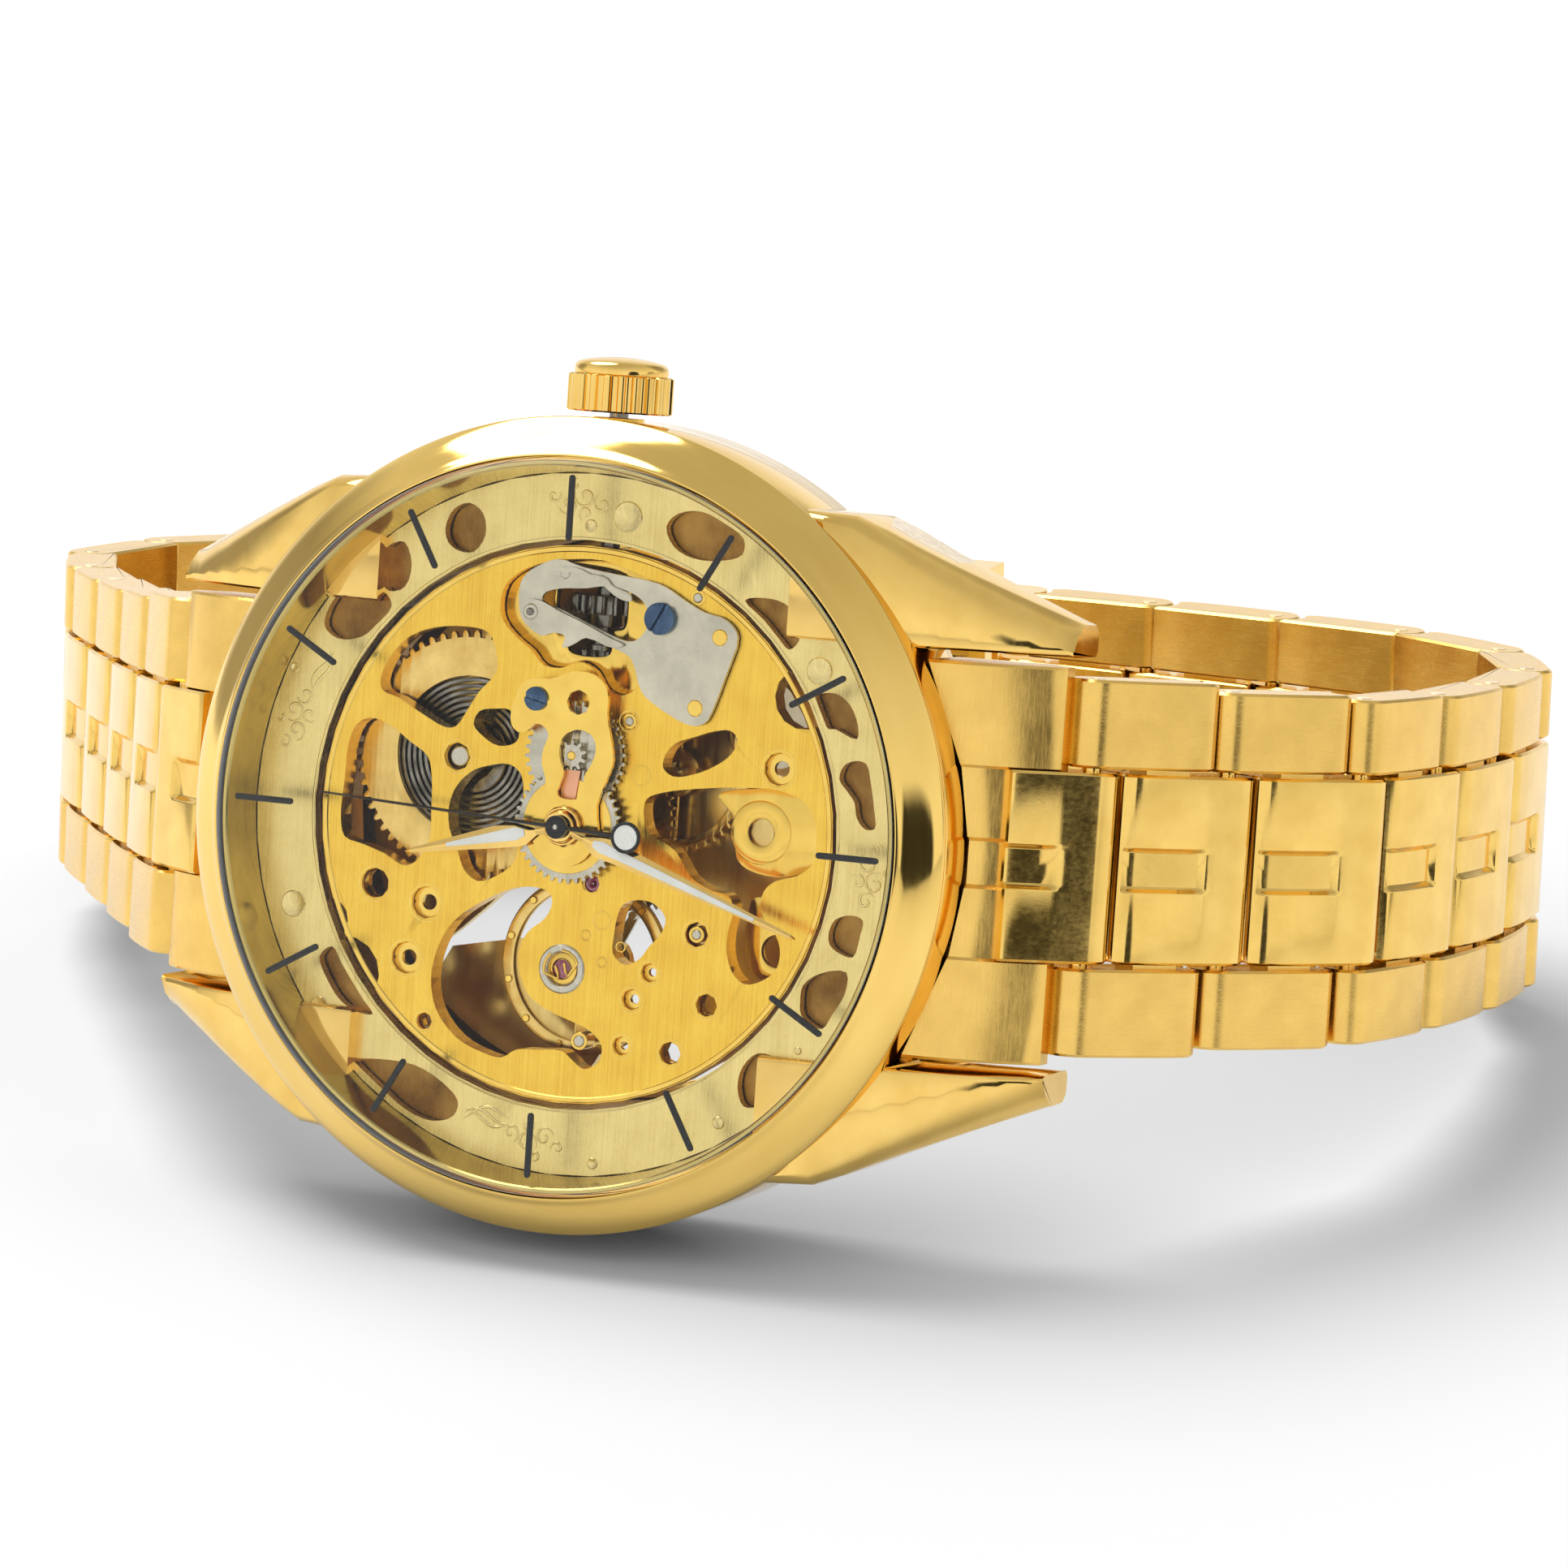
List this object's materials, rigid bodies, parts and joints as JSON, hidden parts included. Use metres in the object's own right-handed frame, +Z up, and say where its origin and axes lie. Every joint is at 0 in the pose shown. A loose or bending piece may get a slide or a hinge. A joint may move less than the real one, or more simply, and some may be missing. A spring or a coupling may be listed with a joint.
{
  "type": "skeleton wristwatch",
  "caption": "Hand-wound skeleton wristwatch with an open gold-tone movement, bar markers on the crystal, a fluted crown and a closed three-row bracelet, standing on its side.",
  "frame": {"origin": "centre of the bounding box in plan, on the surface that the watch stands on", "axes": "+Z up, through the crown side; the dial faces -Y and leans back; +X is along the long side of the standing loop"},
  "size_m": [0.0912, 0.0678, 0.0447],
  "materials": {
    "polished_gold": "mirror polished pale yellow gold plating",
    "rehaut_gold": "polished olive gold",
    "satin_gold": "fine satin gold plating, polished centre row",
    "plate_gold": "warm gold, brushed across the dial",
    "champagne_gold": "champagne gold, straight grained",
    "wheel_brass": "circular grained brass",
    "satin_steel": "satin steel",
    "dark_steel": "dark oiled steel",
    "black_lacquer": "gloss black lacquer",
    "sapphire": "clear sapphire with a bevelled edge",
    "lume_white": "matte pale luminous paint",
    "ruby": "polished synthetic ruby",
    "blued_steel": "heat blued screw steel",
    "copper_red": "copper toned"
  },
  "bodies": {
    "case": {"case_middle": "polished_gold", "bezel": "polished_gold", "inner_flange": "rehaut_gold", "crystal": "sapphire", "case_back": "polished_gold", "case_back_glass": "sapphire", "movement_ring": "satin_gold", "dial_ring": "champagne_gold", "main_plate": "plate_gold", "barrel_bridge": "champagne_gold", "train_bridge": "champagne_gold", "balance_cock": "champagne_gold", "keyless_plate": "satin_steel", "setting_lever": "satin_steel", "motion_bridge": "polished_gold", "crown_tube": "polished_gold", "six_end_link": "satin_gold", "twelve_end_link": "satin_gold"},
    "barrel": {"barrel_drum": "wheel_brass", "mainspring": "dark_steel"},
    "centre": {"centre_wheel": "wheel_brass", "cannon_pinion": "polished_gold", "minute_hand": "polished_gold"},
    "third": {"third_wheel": "wheel_brass"},
    "fourth": {"fourth_wheel": "wheel_brass", "second_hand": "black_lacquer"},
    "escape": {"escape_wheel": "satin_steel"},
    "pallet": {"pallet_fork": "satin_steel"},
    "balance": {"balance_wheel": "wheel_brass", "hairspring": "dark_steel"},
    "minute_work": {"minute_wheel": "satin_steel"},
    "hour_work": {"hour_wheel": "satin_steel", "hour_hand": "polished_gold"},
    "ratchet": {"ratchet_wheel": "satin_steel"},
    "crown_wheel": {"crown_wheel": "satin_steel"},
    "winding": {"winding_pinion": "dark_steel", "sliding_clutch": "dark_steel"},
    "crown_stem": {"crown": "polished_gold", "stem": "dark_steel"},
    "six_link_1": {"six_link_1": "satin_gold"},
    "six_link_2": {"six_link_2": "satin_gold"},
    "six_link_3": {"six_link_3": "satin_gold"},
    "six_link_4": {"six_link_4": "satin_gold"},
    "six_link_5": {"six_link_5": "satin_gold"},
    "six_link_6": {"six_link_6": "satin_gold"},
    "six_link_7": {"six_link_7": "satin_gold"},
    "six_link_8": {"six_link_8": "satin_gold"},
    "six_link_9": {"six_link_9": "satin_gold"},
    "six_link_10": {"six_link_10": "satin_gold"},
    "twelve_link_1": {"twelve_link_1": "satin_gold"},
    "twelve_link_2": {"twelve_link_2": "satin_gold"},
    "twelve_link_3": {"twelve_link_3": "satin_gold"},
    "twelve_link_4": {"twelve_link_4": "satin_gold"},
    "twelve_link_5": {"twelve_link_5": "satin_gold"},
    "twelve_link_6": {"twelve_link_6": "satin_gold"},
    "twelve_link_7": {"twelve_link_7": "satin_gold"},
    "twelve_link_8": {"twelve_link_8": "satin_gold"},
    "clasp_cover": {"clasp_cover": "polished_gold"},
    "clasp_outer_blade": {"clasp_outer_blade": "satin_steel"},
    "clasp_inner_blade": {"clasp_inner_blade": "satin_steel"}
  },
  "joints": [
    {"name": "seconds_spin", "type": "hinge", "parent": "case", "child": "fourth", "pos_m": [0.00565, -0.02567, 0.02155], "axis": [0, -0.9697, 0.2445], "continuous": true},
    {"name": "centre_spin", "type": "hinge", "parent": "case", "child": "centre", "pos_m": [0.00565, -0.02567, 0.02155], "axis": [0, -0.9697, 0.2445], "continuous": true},
    {"name": "third_spin", "type": "hinge", "parent": "case", "child": "third", "pos_m": [0.00928, -0.02497, 0.02434], "axis": [0, -0.9697, 0.2445], "continuous": true},
    {"name": "barrel_spin", "type": "hinge", "parent": "case", "child": "barrel", "pos_m": [-0.00117, -0.02496, 0.0244], "axis": [0, -0.9697, 0.2445], "continuous": true},
    {"name": "escape_spin", "type": "hinge", "parent": "case", "child": "escape", "pos_m": [0.00831, -0.02637, 0.01879], "axis": [0, -0.9697, 0.2445], "continuous": true},
    {"name": "minute_work_spin", "type": "hinge", "parent": "case", "child": "minute_work", "pos_m": [0.00565, -0.02479, 0.02506], "axis": [0, -0.9697, 0.2445], "continuous": true},
    {"name": "hour_work_spin", "type": "hinge", "parent": "case", "child": "hour_work", "pos_m": [0.00565, -0.02567, 0.02155], "axis": [0, -0.9697, 0.2445], "continuous": true},
    {"name": "balance_swing", "type": "hinge", "parent": "case", "child": "balance", "pos_m": [0.00554, -0.0275, 0.01431], "axis": [0, -0.9697, 0.2445], "range_deg": [-270, 270]},
    {"name": "pallet_rock", "type": "hinge", "parent": "case", "child": "pallet", "pos_m": [0.00759, -0.02683, 0.01695], "axis": [0, -0.9697, 0.2445], "range_deg": [-5, 5]},
    {"name": "crown_spin", "type": "hinge", "parent": "case", "child": "winding", "pos_m": [0.00565, -0.02335, 0.02096], "axis": [0, 0.2445, 0.9697], "continuous": true},
    {"name": "crown_wheel_spin", "type": "hinge", "parent": "case", "child": "crown_wheel", "pos_m": [0.00351, -0.02362, 0.0297], "axis": [0, -0.9697, 0.2445], "continuous": true},
    {"name": "ratchet_spin", "type": "hinge", "parent": "case", "child": "ratchet", "pos_m": [-0.00117, -0.02496, 0.0244], "axis": [0, -0.9697, 0.2445], "continuous": true},
    {"name": "crown_pull", "type": "slide", "parent": "winding", "child": "crown_stem", "axis": [0, 0.2445, 0.9697], "range_m": [0, 0.0012]},
    {"name": "six_link_1_hinge", "type": "hinge", "parent": "case", "child": "six_link_1", "pos_m": [0.03145, -0.01986, 0.02008], "axis": [0, 0.2445, 0.9697], "range_deg": [-13, 0]},
    {"name": "six_link_2_hinge", "type": "hinge", "parent": "six_link_1", "child": "six_link_2", "pos_m": [0.03661, -0.01368, 0.01852], "axis": [0, 0.2275, 0.9738], "range_deg": [-10, 0]},
    {"name": "six_link_3_hinge", "type": "hinge", "parent": "six_link_2", "child": "six_link_3", "pos_m": [0.04177, -0.00747, 0.01707], "axis": [0, 0.2105, 0.9776], "range_deg": [-27, 0]},
    {"name": "six_link_4_hinge", "type": "hinge", "parent": "six_link_3", "child": "six_link_4", "pos_m": [0.04347, 0.00037, 0.01539], "axis": [0, 0.1934, 0.9811], "range_deg": [-10, 0]},
    {"name": "six_link_5_hinge", "type": "hinge", "parent": "six_link_4", "child": "six_link_5", "pos_m": [0.04419, 0.00838, 0.01381], "axis": [0, 0.1762, 0.9843], "range_deg": [-10, 0]},
    {"name": "six_link_6_hinge", "type": "hinge", "parent": "six_link_5", "child": "six_link_6", "pos_m": [0.0439, 0.01645, 0.01236], "axis": [0, 0.159, 0.9873], "range_deg": [-24, 0]},
    {"name": "six_link_7_hinge", "type": "hinge", "parent": "six_link_6", "child": "six_link_7", "pos_m": [0.04031, 0.02373, 0.01119], "axis": [0, 0.1418, 0.9899], "range_deg": [-33, 0]},
    {"name": "six_link_8_hinge", "type": "hinge", "parent": "six_link_7", "child": "six_link_8", "pos_m": [0.03328, 0.02791, 0.01059], "axis": [0, 0.1245, 0.9922], "range_deg": [-20, 0]},
    {"name": "six_link_9_hinge", "type": "hinge", "parent": "six_link_8", "child": "six_link_9", "pos_m": [0.02523, 0.02946, 0.0104], "axis": [0, 0.1071, 0.9942], "range_deg": [-10, 0]},
    {"name": "six_link_10_hinge", "type": "hinge", "parent": "six_link_9", "child": "six_link_10", "pos_m": [0.01709, 0.03045, 0.01029], "axis": [0, 0.1071, 0.9942], "range_deg": [-10, 0]},
    {"name": "twelve_link_1_hinge", "type": "hinge", "parent": "case", "child": "twelve_link_1", "pos_m": [-0.02015, -0.01986, 0.02008], "axis": [0, -0.2445, -0.9697], "range_deg": [-14, 0]},
    {"name": "twelve_link_2_hinge", "type": "hinge", "parent": "twelve_link_1", "child": "twelve_link_2", "pos_m": [-0.0252, -0.01359, 0.0185], "axis": [0, -0.2275, -0.9738], "range_deg": [-10, 0]},
    {"name": "twelve_link_3_hinge", "type": "hinge", "parent": "twelve_link_2", "child": "twelve_link_3", "pos_m": [-0.03025, -0.0073, 0.01703], "axis": [0, -0.2105, -0.9776], "range_deg": [-10, 0]},
    {"name": "twelve_link_4_hinge", "type": "hinge", "parent": "twelve_link_3", "child": "twelve_link_4", "pos_m": [-0.0353, -0.00098, 0.01567], "axis": [0, -0.1934, -0.9811], "range_deg": [-10, 0]},
    {"name": "twelve_link_5_hinge", "type": "hinge", "parent": "twelve_link_4", "child": "twelve_link_5", "pos_m": [-0.04034, 0.00536, 0.01442], "axis": [0, -0.1762, -0.9843], "range_deg": [-10, 0]},
    {"name": "twelve_link_6_hinge", "type": "hinge", "parent": "twelve_link_5", "child": "twelve_link_6", "pos_m": [-0.04419, 0.01248, 0.01315], "axis": [0, -0.159, -0.9873], "range_deg": [-33, 0]},
    {"name": "twelve_link_7_hinge", "type": "hinge", "parent": "twelve_link_6", "child": "twelve_link_7", "pos_m": [-0.04348, 0.02055, 0.01185], "axis": [0, -0.1418, -0.9899], "range_deg": [-35, 0]},
    {"name": "twelve_link_8_hinge", "type": "hinge", "parent": "twelve_link_7", "child": "twelve_link_8", "pos_m": [-0.03821, 0.02677, 0.01096], "axis": [0, -0.1418, -0.9899], "range_deg": [-30, 0]},
    {"name": "clasp_cover_hinge", "type": "hinge", "parent": "six_link_10", "child": "clasp_cover", "pos_m": [0.00891, 0.03102, 0.01023], "axis": [0.0043, 0.1073, 0.9942], "range_deg": [-10, 0]},
    {"name": "clasp_outer_hinge", "type": "hinge", "parent": "clasp_cover", "child": "clasp_outer_blade", "pos_m": [-0.02632, 0.02995, 0.0105], "axis": [0, 0.2445, 0.9697], "range_deg": [-60, 0]},
    {"name": "clasp_inner_hinge", "type": "hinge", "parent": "clasp_outer_blade", "child": "clasp_inner_blade", "pos_m": [0.00391, 0.02989, 0.01037], "axis": [0, -0.2445, -0.9697], "range_deg": [-100, 0]}
  ],
  "couplings": [
    {"joint": "centre_spin", "follows": "seconds_spin", "ratio": 0.016667},
    {"joint": "third_spin", "follows": "seconds_spin", "ratio": -0.13333},
    {"joint": "barrel_spin", "follows": "seconds_spin", "ratio": -0.0027778},
    {"joint": "escape_spin", "follows": "seconds_spin", "ratio": -12},
    {"joint": "minute_work_spin", "follows": "seconds_spin", "ratio": -0.0055556},
    {"joint": "hour_work_spin", "follows": "seconds_spin", "ratio": 0.0013889},
    {"joint": "crown_wheel_spin", "follows": "crown_spin", "ratio": 0.72},
    {"joint": "ratchet_spin", "follows": "crown_spin", "ratio": -0.51429}
  ]
}
